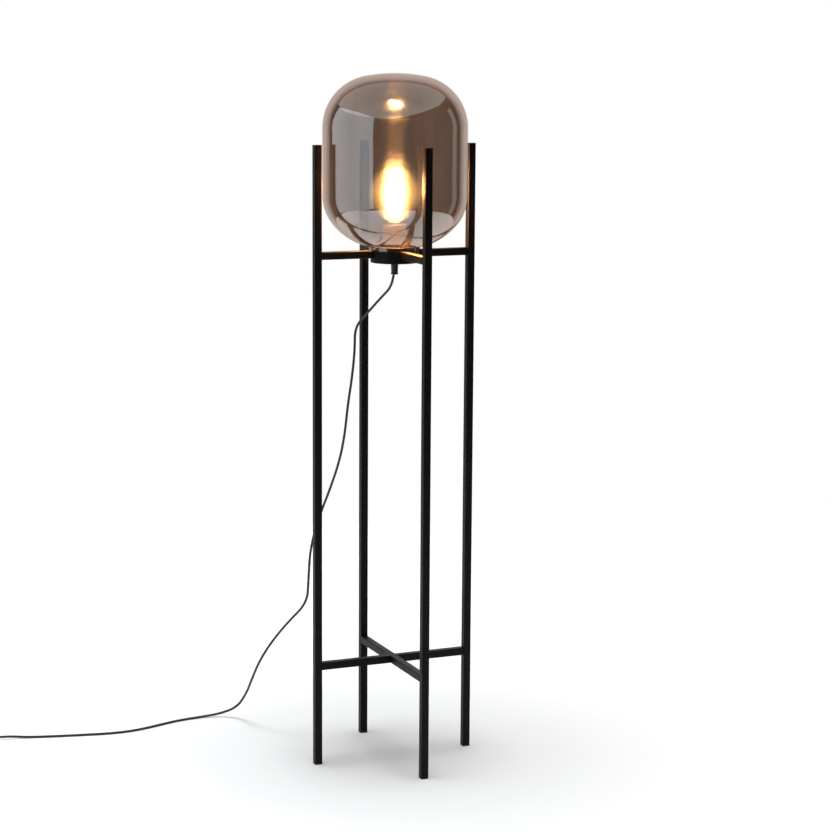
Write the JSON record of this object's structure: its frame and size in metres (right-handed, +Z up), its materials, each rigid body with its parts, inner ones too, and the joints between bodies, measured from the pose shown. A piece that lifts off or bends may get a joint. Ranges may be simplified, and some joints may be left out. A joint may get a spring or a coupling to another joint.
{
  "type": "globe floor lamp",
  "caption": "Floor lamp with a smoked glass shade standing in a tall frame of black square-tube legs joined by crosses, with a globe bulb, mains cord, foot switch and plug.",
  "frame": {"origin": "on the lamp's vertical axis, at the floor under the four feet", "axes": "+X towards the right leg, +Y towards the back leg, +Z up"},
  "size_m": [1.0961, 0.6441, 1.3715],
  "materials": {
    "black_powder_coat": "satin black powder coat on steel",
    "black_plastic": "black moulded plastic",
    "button_plastic": "black moulded button, slightly glossy",
    "zinc_steel": "zinc-plated steel",
    "cord_sheath": "black soft cord sheath",
    "tie_plastic": "black plastic tie",
    "glazed_ceramic": "off-white glazed ceramic",
    "brass": "plain brass",
    "nickel_plate": "nickel-plated brass",
    "sleeve_plastic": "black insulating sleeve",
    "core_insulation": "plain coloured core insulation",
    "smoked_glass": "smoked, slightly mirrored blown glass",
    "clear_glass": "clear blown glass",
    "dark_glass": "black glass insulator of the cap",
    "solder": "solder",
    "filament": "yellow phosphor filaments, warm white when lit",
    "ring_metal": "bright wire"
  },
  "bodies": {
    "stand": {"centre_contact": "brass", "coil_ties": "tie_plastic", "cord_coil": "cord_sheath", "cord_grip": "black_plastic", "cord_lamp": "cord_sheath", "cord_plug_run": "cord_sheath", "cord_tail": "cord_sheath", "cover_screws": "zinc_steel", "glide_back": "black_plastic", "glide_front": "black_plastic", "glide_left": "black_plastic", "glide_right": "black_plastic", "grip_nut": "zinc_steel", "holder_body": "glazed_ceramic", "holder_bracket": "zinc_steel", "holder_screws": "zinc_steel", "holder_terminals": "brass", "hub_cover": "black_powder_coat", "hub_cup": "black_powder_coat", "leg_back": "black_powder_coat", "leg_cap_back": "black_powder_coat", "leg_cap_front": "black_powder_coat", "leg_cap_left": "black_powder_coat", "leg_cap_right": "black_powder_coat", "leg_front": "black_powder_coat", "leg_left": "black_powder_coat", "leg_right": "black_powder_coat", "lower_bar_back": "black_powder_coat", "lower_bar_front": "black_powder_coat", "lower_bar_long": "black_powder_coat", "nipple": "zinc_steel", "nipple_nut": "zinc_steel", "nipple_washer": "zinc_steel", "plug_body": "black_plastic", "plug_pins": "nickel_plate", "plug_sleeves": "sleeve_plastic", "screw_shell": "brass", "supply_cores": "core_insulation", "switch_base": "black_plastic", "switch_block": "black_plastic", "switch_contacts": "brass", "switch_cores": "core_insulation", "switch_cover": "black_plastic", "switch_screws": "zinc_steel", "switch_spring": "zinc_steel", "upper_arm_back": "black_powder_coat", "upper_arm_front": "black_powder_coat", "upper_arm_left": "black_powder_coat", "upper_arm_right": "black_powder_coat"},
    "shade": {"glass_shade": "smoked_glass"},
    "bulb": {"bulb_glass": "clear_glass", "bulb_cap": "nickel_plate", "cap_insulator": "dark_glass", "cap_tip": "solder", "bulb_stem": "clear_glass", "filament_rings": "ring_metal", "filaments": "filament"},
    "button": {"switch_button": "button_plastic", "switch_ring": "brass"}
  },
  "joints": [
    {"name": "shade_lift", "type": "slide", "parent": "stand", "child": "shade", "axis": [0, 0, 1], "range_m": [0, 0.215]},
    {"name": "bulb_unscrew", "type": "slide", "parent": "stand", "child": "bulb", "axis": [0, 0, 1], "range_m": [0, 0.03]},
    {"name": "button_press", "type": "slide", "parent": "stand", "child": "button", "axis": [0, 0, -1], "range_m": [0, 0.0025], "stiffness_N_per_m": 600, "springref_m": -0.002, "deforming": ["switch_spring"]}
  ]
}
